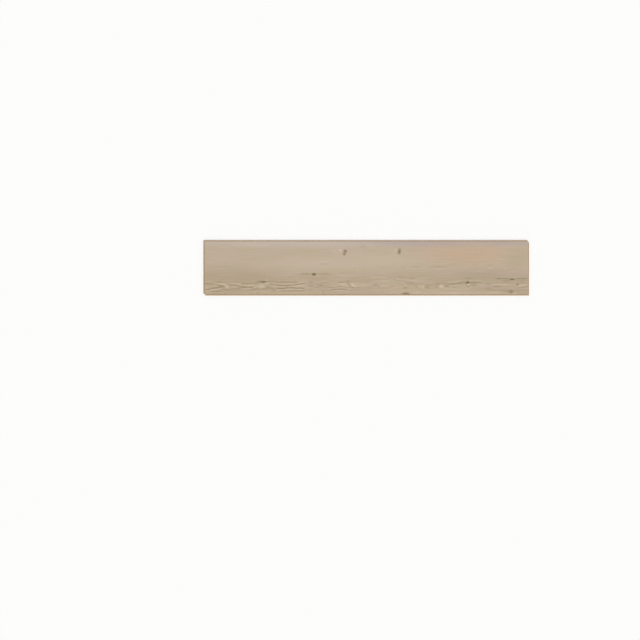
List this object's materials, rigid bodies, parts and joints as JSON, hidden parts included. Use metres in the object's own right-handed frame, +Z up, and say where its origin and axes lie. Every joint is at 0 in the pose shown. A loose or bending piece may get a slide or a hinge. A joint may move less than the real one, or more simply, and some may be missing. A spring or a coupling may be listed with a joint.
{
  "type": "laminate floor plank",
  "caption": "Long thin rectangular floor board with a pale limed-pine decor face, bevelled edges, and a click tongue and groove milled along its sides and ends.",
  "frame": {"origin": "on the underside, directly below the centre of the visible face, which runs from joint plane to joint plane without the tongues and lower lips", "axes": "+X along the plank, with the tongue at the -X end and the groove at the +X end; +Y across it, with the tongue on the +Y side and the groove on the -Y side; +Z up out of the decor face"},
  "size_m": [1.214, 0.206, 0.008],
  "materials": {
    "decor_laminate": "satin"
  },
  "bodies": {
    "root": {"plank": "decor_laminate"}
  },
  "joints": []
}
